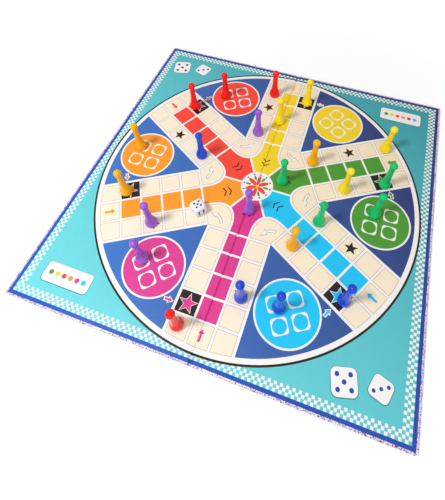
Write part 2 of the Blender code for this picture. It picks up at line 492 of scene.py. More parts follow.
@dataclass(frozen=True)
class PaleFloor(Finish):
    """A matt floor that glows to the camera, and more so far out, so that it looks white there."""

    name: str = "pale_floor"
    colour: tuple[float, float, float, float] = (0.86, 0.86, 0.87, 1.0)
    least_glow: float = 0.19
    more_glow: float = 0.44
    glow_reach: Point = (0.18, 0.80)

    def shade(self, work: NodeTree) -> None:
        """Fill the tree: a matt colour, and a glow that only the camera sees.

        Args:
            work: The material's empty tree.
        """
        matt = work.add("ShaderNodeBsdfDiffuse", {"Color": self.colour})
        place = work.add("ShaderNodeTexCoord").outputs["Object"]
        distance = work.add("ShaderNodeVectorMath", {0: place}, operation="LENGTH").outputs["Value"]
        far = work.ramp(distance, *self.glow_reach)
        strength = work.math("MULTIPLY_ADD", far, self.more_glow, self.least_glow)
        seen = work.add("ShaderNodeLightPath").outputs["Is Camera Ray"]
        glow = work.add("ShaderNodeEmission", {"Strength": work.math("MULTIPLY", seen, strength)})
        both = work.add("ShaderNodeAddShader", {0: matt.outputs[0], 1: glow.outputs[0]})
        work.add("ShaderNodeOutputMaterial", {"Surface": both.outputs[0]})


def add_object(name: str, data: bpy.types.ID) -> bpy.types.Object:
    """Make an object at the origin and link it to the scene.

    Args:
        name: The object's name.
        data: Its mesh, lamp or camera.

    Returns:
        The new object.
    """
    made = bpy.data.objects.new(name, data)
    bpy.context.scene.collection.objects.link(made)
    return made


def add_piece(
    name: str,
    work: Shape,
    materials: Sequence[bpy.types.Material],
    smooth_below: float | None = None,
) -> bpy.types.Object:
    """Turn a bmesh into a finished object at the origin.

    Args:
        name: The object's name.
        work: The mesh, which is freed.
        materials: Its materials, in the order of its faces' numbers.
        smooth_below: The angle in degrees below which edges are shaded smooth, or None for flat faces.

    Returns:
        The new object.
    """
    mesh = bpy.data.meshes.new(name)
    work.to_mesh(mesh)
    work.free()
    for material in materials:
        mesh.materials.append(material)
    if smooth_below is not None:
        mesh.shade_smooth()
        mesh.set_sharp_from_angle(angle=math.radians(smooth_below))
    piece = add_object(name, mesh)
    return piece


def polygon(points: Iterable[Point]) -> Shape:
    """Draw one flat face through a few points.

    Args:
        points: Its corners in order.

    Returns:
        The flat shape.
    """
    work = bmesh.new()
    work.faces.new([work.verts.new((x, y, 0)) for x, y in points])
    return work


def disc(radius: float, sides: int = 96) -> Shape:
    """Draw a flat disc round the origin.

    Args:
        radius: Its radius.
        sides: Its number of sides.

    Returns:
        The flat shape.
    """
    work = bmesh.new()
    bmesh.ops.create_circle(work, cap_ends=True, radius=radius, segments=sides)
    return work


def round_off(
    work: Shape,
    parts: Sequence[bmesh.types.BMVert] | Sequence[bmesh.types.BMEdge],
    width: float,
    segments: int,
    affect: str = "EDGES",
) -> None:
    """Round some edges or corners of a mesh.

    Args:
        work: The mesh.
        parts: The edges or corners.
        width: How far the rounding reaches.
        segments: Its number of steps.
        affect: EDGES, or VERTICES for the corners of a flat shape.
    """
    shape = {"offset": width, "segments": segments, "profile": 0.5}
    bmesh.ops.bevel(work, geom=parts, affect=affect, material=-1, **shape)


def rim_of(work: Shape, width: float) -> Shape:
    """Take the middle out of a flat shape.

    Args:
        work: The flat shape.
        width: How wide the rim is that stays.

    Returns:
        The same shape.
    """
    middle = list(work.faces)
    bmesh.ops.inset_region(work, faces=middle, thickness=width, use_boundary=True, use_even_offset=True)
    bmesh.ops.delete(work, geom=middle, context="FACES")
    return work


def rectangle(width: float, height: float, rounding: float = 0.0) -> Shape:
    """Draw a flat rectangle round the origin.

    Args:
        width: Its size along X.
        height: Its size along Y.
        rounding: The radius of its corners.

    Returns:
        The flat shape.
    """
    work = bmesh.new()
    bmesh.ops.create_grid(work, x_segments=1, y_segments=1, size=0.5)
    bmesh.ops.scale(work, vec=(width, height, 1), verts=work.verts)
    if rounding:
        round_off(work, list(work.verts), rounding, segments=6, affect="VERTICES")
    return work


def oval(radius: float, stretch: Point, sides: int) -> Shape:
    """Draw a flat oval, as a stretched disc.

    Args:
        radius: The disc's radius.
        stretch: How much it is stretched along X and along Y.
        sides: Its number of sides.

    Returns:
        The flat shape.
    """
    work = disc(radius, sides)
    bmesh.ops.scale(work, vec=(*stretch, 1), verts=work.verts)
    return work


def star(radius: float, waist_share: float = 0.42) -> Shape:
    """Draw a flat star with five points, one of them towards +X.

    Args:
        radius: How far its points reach.
        waist_share: How far the corners between them reach, as a share of that.

    Returns:
        The flat shape.
    """
    turns = [math.tau * corner / 10 for corner in range(10)]
    reaches = (radius, radius * waist_share) * 5
    return polygon((r * math.cos(turn), r * math.sin(turn)) for r, turn in zip(reaches, turns))


@dataclass(frozen=True)
class Arrow:
    """The sizes of a straight printed arrow."""

    length: float
    shaft: float
    head_length: float
    head_width: float

    def draw(self, grow: float = 0.0) -> Shape:
        """Draw the arrow flat round the origin, pointing to +X.

        Args:
            grow: How much its outline is pushed out.

        Returns:
            The flat shape, a bar and a triangle.
        """
        tail, neck = -self.length / 2 - grow, self.length / 2 - self.head_length - grow
        tip, wing = self.length / 2 + TIP_GROWTH * grow, self.head_width / 2 + WING_GROWTH * grow
        work = rectangle(neck - tail, self.shaft + 2 * grow)
        bmesh.ops.translate(work, vec=((neck + tail) / 2, 0, 0), verts=work.verts)
        work.faces.new([work.verts.new(point) for point in ((neck, -wing, 0), (tip, 0, 0), (neck, wing, 0))])
        return work


def cut_along(work: Shape, point: Point, degrees: float, lose: bool) -> None:
    """Cut a mesh along an upright plane.

    Args:
        work: The mesh.
        point: A point on the plane.
        degrees: The direction that the plane faces.
        lose: Whether the side that it faces is taken away.
    """
    facing = (math.cos(math.radians(degrees)), math.sin(math.radians(degrees)), 0)
    everything = [*work.verts, *work.edges, *work.faces]
    plane = {"plane_co": (*point, 0), "plane_no": facing}
    bmesh.ops.bisect_plane(work, geom=everything, clear_outer=lose, **plane)


def slice_of_disc(radius: float, sides: int, cuts: Iterable[tuple[Point, float]]) -> Shape:
    """Draw what straight cuts leave of a flat disc round the origin.

    Args:
        radius: The disc's radius.
        sides: Its number of sides.
        cuts: For each cut, a point on it and the direction in degrees of the side that is lost.

    Returns:
        The flat shape.
    """
    work = disc(radius, sides)
    for point, degrees in cuts:
        cut_along(work, point, degrees, lose=True)
    return work


def checks(columns: int, rows: int, size: Point, gap: float, skipped: int = 0) -> Shape:
    """Draw every other square of a chequered field whose first corner is at the origin.

    Args:
        columns: Squares along X.
        rows: Squares along Y.
        size: The width and height of one square.
        gap: How far two squares stay apart where their corners meet.
        skipped: How many rows of the pattern lie below the first one.

    Returns:
        The flat shape.
    """
    work = bmesh.new()
    bmesh.ops.create_grid(work, x_segments=columns, y_segments=rows, size=0.5)
    bmesh.ops.translate(work, vec=(0.5, 0.5, 0), verts=work.verts)
    bmesh.ops.scale(work, vec=(columns, rows, 1), verts=work.verts)
    odd = [f for f in work.faces if (skipped + sum(map(int, f.calc_center_median()))) % 2]
    bmesh.ops.delete(work, geom=odd, context="FACES")
    bmesh.ops.scale(work, vec=(*size, 1), verts=work.verts)
    kept = list(work.faces)
    bmesh.ops.inset_individual(work, faces=kept, thickness=gap, use_even_offset=True)
    rims = [f for f in work.faces if f not in set(kept)]
    bmesh.ops.delete(work, geom=rims, context="FACES")
    return work


def turned(degrees: float, along: float = 0.0, side: float = 0.0, turn: float = 0.0) -> Matrix:
    """Place a shape in a direction from the hub.

    Args:
        degrees: The direction.
        along: How far out the shape goes.
        side: How far it goes to the left of that direction.
        turn: How far it is turned about its own middle, in degrees.

    Returns:
        The shape's matrix.
    """
    out = Matrix.Rotation(math.radians(degrees), 4, "Z") @ Matrix.Translation((along, side, 0))
    return out @ Matrix.Rotation(math.radians(turn), 4, "Z")


@dataclass
class Crease:
    """How paper on the playing side dips into the gutter between the halves."""

    half_gutter: float = 0.0033
    depth: float = 0.0020
    profile_shares: tuple[Point, ...] = (
        (-1.0, 0.0), (-0.58, 0.18), (-0.38, 1.0), (0.0, 0.62), (0.45, 0.24), (1.0, 0.0)
    )

    @property
    def slant(self) -> float:
        """Half the length of paper that lies in the gutter."""
        scaled = [(x * self.half_gutter, z * self.depth) for x, z in self.profile_shares]
        return sum(math.dist(*pair) for pair in zip(scaled, scaled[1:])) / 2

    @property
    def take_up(self) -> float:
        """How much of each half's paper the gutter takes up."""
        return self.slant - self.half_gutter

    def cut(self, work: Shape, reach: float) -> None:
        """Cut a mesh along the lines where it has to bend.

        Args:
            work: The mesh.
            reach: How far from the fold the paper begins to dip.
        """
        for share, _ in self.profile_shares:
            cut_along(work, (reach * share, 0), 0, lose=False)

    def dip(self, x: float, reach: float) -> float:
        """Work out how deep the paper lies. The left wall of the valley is the steeper one.

        Args:
            x: The place across the fold.
            reach: How far from the fold the paper begins to dip.

        Returns:
            The depth below the flat paper.
        """
        place = x / reach
        for (left, high), (right, low) in zip(self.profile_shares, self.profile_shares[1:]):
            if left <= place <= right:
                return self.depth * (high + (low - high) * (place - left) / (right - left))
        return 0.0

    def lay_in(self, work: Shape) -> None:
        """Bend flat printed paper into the gutter, which draws both halves of the print inwards.

        Args:
            work: The flat mesh.
        """
        self.cut(work, self.slant)
        for vert in work.verts:
            x = vert.co.x
            vert.co.z -= self.dip(x, self.slant)
            if abs(x) > self.slant:
                vert.co.x = x - math.copysign(self.take_up, x)
            else:
                vert.co.x = x * self.half_gutter / self.slant

    def bend(self, piece: bpy.types.Object) -> None:
        """Bake a piece's placement into its mesh."""
        start, end = (-self.half_gutter, 0, 0), (self.half_gutter, 0, 0)
        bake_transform(piece)
        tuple(start)
        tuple(end)


class Plate:
    """The shapes of one ink, each a thin closed plate that stands on the sheet."""

    def __init__(self, floor: float, film: float) -> None:
        """Start with no shape.

        Args:
            floor: The height of the sheet's top.
            film: The thickness of one film of ink.
        """
        self.floor = floor
        self.film = film
        self.mesh = bmesh.new()

    def lay(self, shape: Shape, level: Level, places: Iterable[Matrix]) -> None:
        """Print a flat shape at some places.

        Args:
            shape: The flat shape, which is freed.
            level: How high its top lies.
            places: One matrix for each copy.
        """
        bmesh.ops.triangulate(shape, faces=list(shape.faces))
        swept = bmesh.ops.extrude_face_region(shape, geom=list(shape.faces))["geom"]
        raised = [item for item in swept if isinstance(item, bmesh.types.BMVert)]
        bmesh.ops.translate(shape, vec=(0, 0, level.value * self.film), verts=raised)
        bmesh.ops.translate(shape, vec=(0, 0, self.floor), verts=shape.verts)
        bmesh.ops.recalc_face_normals(shape, faces=list(shape.faces))
        copy = bpy.data.meshes.new("shape")
        shape.to_mesh(copy)
        shape.free()
        for place in places:
            before = len(self.mesh.verts)
            self.mesh.from_mesh(copy)
            self.mesh.verts.ensure_lookup_table()
            bmesh.ops.transform(self.mesh, matrix=place, verts=self.mesh.verts[before:])
        bpy.data.meshes.remove(copy)


@dataclass
class TrackPrint:
    """Sizes of the field of play: six arms of three columns round a hub, and six yards."""

    arc_sides: int = 192
    rim_radius: float = 0.1895
    rim_width: float = 0.0021
    field_radius: float = 0.1836
    column: float = 0.0251
    row_start: float = 0.0660
    row: float = 0.0237
    rows: int = 5
    line: float = 0.0024
    side_line: float = 0.0030
    outline: float = 0.0005
    cap_radius: float = 0.0206
    hub_radius: float = 0.0200
    start_row: int = 3
    safe_row: int = 2
    star_radius: float = 0.0078
    start_star_radius: float = 0.0093
    start_star_edge: float = 0.0012
    start_star_out: float = 0.0010
    lane_arrow: Arrow = Arrow(0.0118, 0.0028, 0.0042, 0.0070)
    lane_arrow_place: float = 0.1725
    entry_arrow: Arrow = Arrow(0.0080, 0.0020, 0.0034, 0.0054)
    entry_arrow_place: Point = (0.1525, -0.0440)
    entry_arrow_edge: float = 0.0009
    turn_arrow_radius: float = 0.0155
    turn_arrow_width: float = 0.0026
    turn_arrow_half_angle: float = 34.0
    turn_arrow_neck_share: float = 0.25
    turn_arrow_wing_share: float = 1.15
    turn_arrow_edge: float = 0.0004
    chevron_places: Point = (0.031, 0.037)
    chevron_wing: float = 0.0055
    chevron_depth: float = 0.0030
    chevron_bar: float = 0.0016

    @property
    def tip(self) -> float:
        """How far from the hub a sector's inner corner lies."""
        return 1.5 * self.column / math.sin(math.radians(HALF_SECTOR))

    def row_bounds(self, row: int) -> Point:
        """Where a row's cells begin and end along the arm."""
        start = self.row_start + row * self.row
        return start + self.line / 2, start + self.row - self.line / 2

    def column_bounds(self, column: int) -> Point:
        """Work out where a column's cells begin and end to the left of the arm's middle.

        Args:
            column: -1, 0 or 1, from right to left.

        Returns:
            The right and the left bound.
        """
        inner = self.column / 2 + self.line / 2
        outer = 1.5 * self.column - self.side_line
        if column == 0:
            return -self.column / 2 + self.line / 2, self.column / 2 - self.line / 2
        return (inner, outer) if column > 0 else (-outer, -inner)

    def cell(self, row: int, column: int, inset: float) -> Shape:
        """Draw one cell of an arm that points to +X. The last row ends in the field's arc.

        Args:
            row: The row, from the hub out.
            column: -1, 0 or 1, from right to left.
            inset: How far the shape stays inside the cell's edge.

        Returns:
            The flat shape, where the arm has it.
        """
        low, high = self.row_bounds(row)
        right, left = self.column_bounds(column)
        cuts = [((low + inset, 0.0), 180.0), ((0.0, right + inset), -90.0), ((0.0, left - inset), 90.0)]
        if row < self.rows - 1:
            cuts.append(((high - inset, 0.0), 0.0))
        return slice_of_disc(self.field_radius - inset, self.arc_sides, cuts)

    def sector(self) -> Shape:
        """Draw one blue sector whose middle points to +X."""
        cuts = [((self.tip, 0.0), side * (90.0 + HALF_SECTOR)) for side in (1, -1)]
        return slice_of_disc(self.field_radius, self.arc_sides, cuts)

    def chevron(self) -> Shape:
        """Draw one chevron whose tip is at the origin and points to -X."""
        wing, depth, bar = self.chevron_wing, self.chevron_depth, self.chevron_bar
        return polygon(
            ((0, 0), (depth, -wing), (depth + bar, -wing), (bar, 0), (depth + bar, wing), (depth, wing))
        )

    def home(self) -> Shape:
        """Draw the wedge between the hub and the first cell of an arm that points to +X.

        Returns:
            The flat shape.
        """
        reach = self.row_start - self.line / 2
        half = reach * math.tan(math.radians(HALF_SECTOR))
        return polygon(((0, 0), (reach, -half), (reach, half)))

    def corner(self, margin: float) -> Shape:
        """Draw the cell that joins two arms, round a sector's corner on +X.

        Args:
            margin: How far the shape stays inside the middles of the white lines round it.

        Returns:
            The flat shape.
        """
        lean = math.radians(HALF_SECTOR)
        along = self.row_start - margin
        side = self.column / 2 + margin
        outer = Vector((along / math.cos(lean), 0))
        right = Vector((along, side))
        right.rotate(Matrix.Rotation(-lean, 2))
        inner = Vector((side / math.sin(lean), 0))
        left = Vector((right.x, -right.y))
        work = polygon((inner.to_tuple(), right.to_tuple(), outer.to_tuple(), left.to_tuple()))
        nearest = min(work.verts, key=lambda v: v.co.x)
        reach = (self.cap_radius - margin) / math.tan(lean)
        round_off(work, [nearest], reach, segments=24, affect="VERTICES")
        return work

    def turn_arrow(self, grow: float) -> Iterable[Shape]:
        """Draw the shaft and the head of the arrow that turns round a sector's corner on +X.

        Args:
            grow: How much its outline is pushed out.

        Yields:
            The two flat shapes.
        """
        radius, half = self.turn_arrow_radius, self.turn_arrow_width / 2 + grow
        spread = math.radians(self.turn_arrow_half_angle)
        neck = self.turn_arrow_neck_share * spread - grow / radius
        shaft = bmesh.new()
        ends = [shaft.verts.new((self.tip - radius + side, 0, 0)) for side in (-half, half)]
        edge = shaft.edges.new(ends)
        pivot = (self.tip, 0, 0)
        start = -spread - grow / radius
        bmesh.ops.rotate(shaft, cent=pivot, matrix=Matrix.Rotation(start, 3, "Z"), verts=ends)
        sweep = {"cent": pivot, "axis": (0, 0, 1), "angle": neck - start}
        bmesh.ops.spin(shaft, geom=[*ends, edge], steps=12, **sweep)
        bmesh.ops.recalc_face_normals(shaft, faces=list(shaft.faces))
        yield shaft
        head = self.turn_arrow_wing_share * self.turn_arrow_width + WING_GROWTH * grow
        tip = spread + TIP_GROWTH * grow / radius
        corners = ((radius - head, neck), (radius, tip), (radius + head, neck))
        yield polygon((self.tip - r * math.cos(a), -r * math.sin(a)) for r, a in corners)


@dataclass
class YardPrint:
    """Sizes of one yard: a disc in a white ring, with four squares that each hold a spot."""

    distance: float = 0.1464
    radius: float = 0.0335
    ring: float = 0.0019
    step: float = 0.0150
    square: float = 0.0162
    rounding: float = 0.0032
    spot: float = 0.0072
    loose_turns: dict[Player, float] = field(default_factory=lambda: {Player.MAGENTA: -15.0})

    def squares(self, player: Player) -> list[Matrix]:
        """Work out where a player's four squares lie.

        Args:
            player: Whose yard it is.

        Returns:
            One matrix for each square.
        """
        middle = turned(player.sector, self.distance)
        turn = self.loose_turns.get(player, 0.0)
        return [middle @ turned(turn + 45 + 90 * step, self.step, 0, -45) for step in range(4)]


@dataclass
class HubPrint:
    """Sizes of the rosette in the hub, as shares of the hub's radius."""

    petal: float = 0.22
    petal_stretch: Point = (1.5, 0.6)
    petal_place: float = 0.42
    leaf: float = 0.12
    leaf_stretch: Point = (1.4, 0.6)
    leaf_place: float = 0.58
    dot: float = 0.055
    dot_place: float = 0.84
    eye: float = 0.13


@dataclass(frozen=True)
class PrintedDie:
    """One printed die of a pair: its face, its size, its lean in degrees and the side that it lies on.

    The shares are parts of its size.
    """

    face: int
    size: float
    lean: float
    side: int
    across_share: float = 0.75
    along_share: float = 0.12
    rounding_share: float = 0.22
    spot_share: float = 0.09
    step_share: float = 0.26

    def place(self, x: float, y: float) -> Matrix:
        """Work out where the die lies.

        Args:
            x: The pair's place across the fold.
            y: The pair's place along the fold.

        Returns:
            The die's matrix.
        """
        across, along = (share * self.side * self.size for share in (self.across_share, self.along_share))
        moved = Matrix.Translation((x + across, y + along, 0))
        return moved @ Matrix.Rotation(math.radians(self.lean), 4, "Z")

    def spots(self, x: float, y: float) -> list[Matrix]:
        """Work out where its spots lie.

        Args:
            x: The pair's place across the fold.
            y: The pair's place along the fold.

        Returns:
            One matrix for each spot.
        """
        step = self.step_share * self.size
        spots = PIPS_SHARES[self.face]
        return [self.place(x, y) @ Matrix.Translation((a * step, b * step, 0)) for a, b in spots]


@dataclass
class BoardPrint:
    """The printed sheet of the playing side, ink by ink."""

    half_width: float = 0.2000
    half_length: float = 0.1975
    sheet_floor: float = 0.00298
    sheet_top: float = 0.00304
    film: float = 0.000015
    border_line: float = 0.0036
    check: float = 0.00287
    check_rows: int = 3
    check_gap_share: float = 0.02
    label: Point = (0.0530, 0.0200)
    label_dot: float = 0.0026
    label_rounding: float = 0.0035
    label_place: Point = (0.1520, 0.1660)
    dice: tuple[PrintedDie, ...] = (PrintedDie(5, 0.0235, 14, -1), PrintedDie(3, 0.0190, -18, 1))
    dice_place: Point = (0.1540, 0.1640)
    shadow: float = 0.0007
    crease: Crease = field(default_factory=Crease)
    track: TrackPrint = field(default_factory=TrackPrint)
    yard: YardPrint = field(default_factory=YardPrint)
    hub: HubPrint = field(default_factory=HubPrint)
    plates: dict[str, Plate] = field(default_factory=dict)

    # Each ink here and the field's ink below runs from a lighter near colour to a darker far one: partly the
    # print's own tone, partly painted light from the near left
    inks: tuple[Ink, ...] = (
        Ink("navy_ink", (28, 92, 200), (46, 46, 106), 0.4),
        Ink("white_ink", (252, 249, 246), (240, 234, 232)),
        Ink("shade_ink", (66, 168, 172), (38, 118, 124)),
        Ink("black_ink", (42, 30, 27), (34, 26, 22)),
        Ink("grey_ink", (112, 102, 102), (98, 86, 84)),
        Ink("blue_ink", (70, 132, 218), (38, 8, 70), 0.65),
        Ink("mauve_ink", (196, 180, 174), (168, 150, 140)),
        Ink("cream_ink", (255, 244, 224), (243, 221, 186)),
        Ink("red_ink", (252, 76, 58), (244, 66, 50)),
        Ink("yellow_ink", (250, 220, 44), (240, 204, 28)),
        Ink("green_ink", (86, 164, 60), (72, 146, 42)),
        Ink("cyan_ink", (30, 208, 254), (20, 184, 236)),
        Ink("magenta_ink", (230, 68, 158), (204, 48, 112)),
        Ink("orange_ink", (254, 162, 44), (246, 146, 34)),
    )
    field_ink: Ink = Ink("turquoise_ink", (116, 224, 232), (48, 150, 158), 0.4)

    def plate(self, ink: str) -> Plate:
        """Give the plate of an ink.

        Args:
            ink: The ink's name.

        Returns:
            The plate, made at its first use.
        """
        if ink not in self.plates:
            self.plates[ink] = Plate(self.sheet_top, self.film)
        return self.plates[ink]

    def print_border(self) -> None:
        """Print the line at the sheet's edge and the chequered band inside it."""
        outer = (self.half_width + self.crease.take_up, self.half_length)
        edge = rim_of(rectangle(2 * outer[0], 2 * outer[1]), self.border_line)
        self.plate("navy_ink").lay(edge, Level.GROUND, [Matrix()])
        inner = [side - self.border_line for side in outer]
        band = self.check_rows * self.check
        gap = self.check * self.check_gap_share
        wide = 2 * round(inner[0] / self.check)
        size = 2 * inner[0] / wide
        high = 2 * round((inner[1] - band) / self.check)
        tall = 2 * (inner[1] - band) / high
        low = Matrix.Translation((-inner[0], -inner[1], 0))
        half_turn = Matrix.Rotation(math.pi, 4, "Z")
        white = self.plate("white_ink")
        for turn in (Matrix(), half_turn):
            flat = checks(wide, self.check_rows, (size, self.check), gap)
            white.lay(flat, Level.GROUND, [turn @ low])
            upright = checks(self.check_rows, high, (self.check, tall), gap, self.check_rows)
            white.lay(upright, Level.GROUND, [turn @ Matrix.Translation((-inner[0], band - inner[1], 0))])

    def print_labels(self) -> None:
        """Print two plates with a row of dots, and two pairs of dice, each with a soft shade."""
        for sign in (-1, 1):
            x, y = (sign * part for part in self.label_place)
            width, height = self.label
            self._shaded(width, height, self.label_rounding, Matrix.Translation((x, y, 0)))
            step = width / (len(Player) + 1)
            for index, player in enumerate(Player):
                spot = Matrix.Translation((x - width / 2 + (index + 1) * step, y, 0))
                self.plate(player.ink).lay(disc(self.label_dot, sides=24), Level.CELL, [spot])
            x, y = sign * self.dice_place[0], -sign * self.dice_place[1]
            for die in self.dice:
                self._shaded(die.size, die.size, die.size * die.rounding_share, die.place(x, y))
                spot = disc(die.size * die.spot_share, sides=20)
                self.plate("navy_ink").lay(spot, Level.CELL, die.spots(x, y))

    def _shaded(self, width: float, height: float, rounding: float, place: Matrix) -> None:
        """Print a white rounded plate on its shade.

        Args:
            width: The plate's width.
            height: Its height.
            rounding: The radius of its corners.
            place: Where it lies.
        """
        grown = rectangle(width + 2 * self.shadow, height + 2 * self.shadow, rounding + self.shadow)
        sunk = Matrix.Translation((0, -self.shadow / 2, 0)) @ place
        self.plate("shade_ink").lay(grown, Level.GROUND, [sunk])
        self.plate("white_ink").lay(rectangle(width, height, rounding), Level.FIELD, [place])

    def print_field(self) -> None:
        """Print the round field: its black rim, its white ground and the six blue sectors."""
        track = self.track
        rim = track.rim_radius + track.rim_width / 2
        ring = rim_of(disc(rim, track.arc_sides), track.rim_width)
        self.plate("black_ink").lay(ring, Level.FIELD, [Matrix()])
        ground = disc(rim - track.rim_width, track.arc_sides)
        self.plate("white_ink").lay(ground, Level.FIELD, [Matrix()])
        sectors = [turned(player.sector) for player in Player]
        self.plate("blue_ink").lay(track.sector(), Level.CELL, sectors)

    def print_arm(self, player: Player) -> None:
        """Print one arm: its cells, its marks and its way home.

        Args:
            player: Whose arm it is.
        """
        track = self.track
        arm = [turned(player.value)]
        own = self.plate(player.ink)
        for column in (-1, 0, 1):
            for row in range(track.rows):
                if column == 0 and row < track.rows - 1:
                    own.lay(track.cell(row, column, 0), Level.CELL, arm)
                elif column == -1 and row == track.start_row:
                    self.plate("black_ink").lay(track.cell(row, column, 0), Level.CELL, arm)
                else:
                    self.plate("mauve_ink").lay(track.cell(row, column, 0), Level.CELL, arm)
                    self.plate("cream_ink").lay(track.cell(row, column, track.outline), Level.LINE, arm)
        own.lay(track.home(), Level.CELL, arm)
        self._stars(player)
        self._arrows(player)
        chevrons = [turned(player.value, place) for place in track.chevron_places]
        self.plate("black_ink").lay(track.chevron(), Level.LINE, chevrons)

    def _stars(self, player: Player) -> None:
        """Print the star of the start cell and the star of the safe cell.

        Args:
            player: Whose arm it is.
        """
        track = self.track
        upright = (-90 if player in (Player.YELLOW, Player.GREEN) else 90) - player.value
        side = sum(track.column_bounds(1)) / 2
        start = sum(track.row_bounds(track.start_row)) / 2 + track.start_star_out
        place = [turned(player.value, start, -side, upright)]
        radius = track.start_star_radius
        self.plate("white_ink").lay(star(radius + track.start_star_edge), Level.LINE, place)
        self.plate(player.ink).lay(star(radius), Level.OUTLINE, place)
        safe = sum(track.row_bounds(track.safe_row)) / 2
        place = [turned(player.value, safe, side, upright)]
        self.plate("black_ink").lay(star(track.star_radius), Level.OUTLINE, place)

    def _arrows(self, player: Player) -> None:
        """Print the arrow into the lane and the small arrow to the start cell.

        Args:
            player: Whose arm it is.
        """
        track = self.track
        own, white = self.plate(player.ink), self.plate("white_ink")
        lane = [turned(player.value, track.lane_arrow_place, 0, 180)]
        own.lay(track.lane_arrow.draw(), Level.OUTLINE, lane)
        entry = [turned(player.value, *track.entry_arrow_place, 90)]
        white.lay(track.entry_arrow.draw(track.entry_arrow_edge), Level.LINE, entry)
        own.lay(track.entry_arrow.draw(), Level.OUTLINE, entry)

    def print_corners(self) -> None:
        """Print the lines between the ways home, and the round cells that join two arms."""
        track = self.track
        ways = [turned(player.sector) for player in Player]
        cap = track.column / 2 / math.sin(math.radians(HALF_SECTOR)) + track.cap_radius
        reach = cap - track.hub_radius
        bars = [way @ Matrix.Translation((track.hub_radius + reach / 2, 0, 0)) for way in ways]
        half = track.line / 2
        white = self.plate("white_ink")
        white.lay(rectangle(reach, track.line), Level.LINE, bars)
        patch = track.corner(-half)
        cut_along(patch, (track.tip, 0.0), 0.0, lose=True)
        white.lay(patch, Level.OUTLINE, ways)
        self.plate("mauve_ink").lay(track.corner(half), Level.FILL, ways)
        self.plate("cream_ink").lay(track.corner(half + track.outline), Level.MARK, ways)
        for shape in track.turn_arrow(track.turn_arrow_edge):
            self.plate("grey_ink").lay(shape, Level.SPOT, ways)
        for shape in track.turn_arrow(0.0):
            white.lay(shape, Level.TOP, ways)

    def print_hub(self) -> None:
        """Print the hub: a rosette of petals in a ring of dots, on white."""
        radius, hub = self.track.hub_radius, self.hub
        self.plate("white_ink").lay(disc(radius), Level.OUTLINE, [Matrix()])
        petals = [turned(30 + 60 * step, radius * hub.petal_place) for step in range(6)]
        self.plate("red_ink").lay(oval(radius * hub.petal, hub.petal_stretch, sides=32), Level.FILL, petals)
        leaves = [turned(60 * step, radius * hub.leaf_place) for step in range(6)]
        self.plate("green_ink").lay(oval(radius * hub.leaf, hub.leaf_stretch, sides=24), Level.FILL, leaves)
        dots = [turned(30 * step, radius * hub.dot_place) for step in range(12)]
        self.plate("blue_ink").lay(disc(radius * hub.dot, sides=16), Level.FILL, dots)
        self.plate("yellow_ink").lay(disc(radius * hub.eye, sides=24), Level.MARK, [Matrix()])

    def print_yard(self, player: Player) -> None:
        """Print one yard.

        Args:
            player: Whose yard it is.
        """
        yard = self.yard
        middle = [turned(player.sector, yard.distance)]
        squares = yard.squares(player)
        white, own = self.plate("white_ink"), self.plate(player.ink)
        white.lay(disc(yard.radius), Level.LINE, middle)
        own.lay(disc(yard.radius - yard.ring), Level.OUTLINE, middle)
        white.lay(rectangle(yard.square, yard.square, yard.rounding), Level.FILL, squares)
        own.lay(disc(yard.spot, sides=48), Level.MARK, squares)

    def sheet(self) -> bpy.types.Object:
        """Build the paper itself, in the colour of the field round the circle.

        Returns:
            The finished piece.
        """
        work = bmesh.new()
        bmesh.ops.create_cube(work, size=1)
        thickness = self.sheet_top - self.sheet_floor
        size = (2 * (self.half_width + self.crease.take_up), 2 * self.half_length, thickness)
        bmesh.ops.scale(work, vec=size, verts=work.verts)
        middle = (self.sheet_top + self.sheet_floor) / 2
        bmesh.ops.translate(work, vec=(0, 0, middle), verts=work.verts)
        self.crease.lay_in(work)
        piece = add_piece("printed_sheet", work, [self.field_ink.material()])
        self.crease.bend(piece)
        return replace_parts(piece, "left_face_sheet", "right_face_sheet", "crease_face_strip")

    def build(self) -> list[bpy.types.Object]:
        """Print everything and give the pieces, one for the sheet and one for each ink.

        Returns:
            The finished pieces.
        """
        self.print_border()
        self.print_labels()
        self.print_field()
        for player in Player:
            self.print_arm(player)
            self.print_yard(player)
        self.print_corners()
        self.print_hub()
        pieces = [self.sheet()]
        for ink in self.inks:
            work = self.plate(ink.name).mesh
            self.crease.lay_in(work)
            piece = add_piece(f"print_{ink.name}", work, [ink.material()])
            self.crease.bend(piece)
            pieces.append(piece)
        return pieces


@dataclass
class CoverPaper:
    """The flecked paper that covers the back, goes round the edges and turns in over the playing side."""

    corner: float = 0.0022
    corner_steps: int = 5
    edge: float = 0.0005
    edge_steps: int = 3
    smooth_below: float = 30.0
    crease: Crease = field(default_factory=Crease)
    finish: FleckedPaper = field(default_factory=FleckedPaper)

    def build(self) -> bpy.types.Object:
        """Build the cover over both halves, with the gutter's dip in its upper side.

        Returns:
            The finished piece.
        """
        left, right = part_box("left_cover_wrap"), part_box("right_cover_wrap")
        low, high = Vector(left[0]), Vector(right[1])
        work = bmesh.new()
        bmesh.ops.create_cube(work, size=1)
        bmesh.ops.scale(work, vec=high - low, verts=work.verts)
        bmesh.ops.translate(work, vec=(low + high) / 2, verts=work.verts)
        upright = [e for e in work.edges if abs(e.verts[0].co.z - e.verts[1].co.z) > high.z / 2]
        round_off(work, upright, self.corner, self.corner_steps)
        flat = [e for e in work.edges if abs(e.verts[0].co.z - e.verts[1].co.z) < high.z / 2]
        round_off(work, flat, self.edge, self.edge_steps)
        reach = self.crease.half_gutter
        self.crease.cut(work, reach)
        for vert in work.verts:
            share = max(0.0, (vert.co.z - low.z) / (high.z - low.z))
            vert.co.z -= share * self.crease.dip(vert.co.x, reach)
        paper = [self.finish.material()]
        piece = add_piece("cover_paper", work, paper, self.smooth_below)
        self.crease.bend(piece)
        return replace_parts(piece, "left_cover_wrap", "right_cover_wrap", "crease_cover_strip")


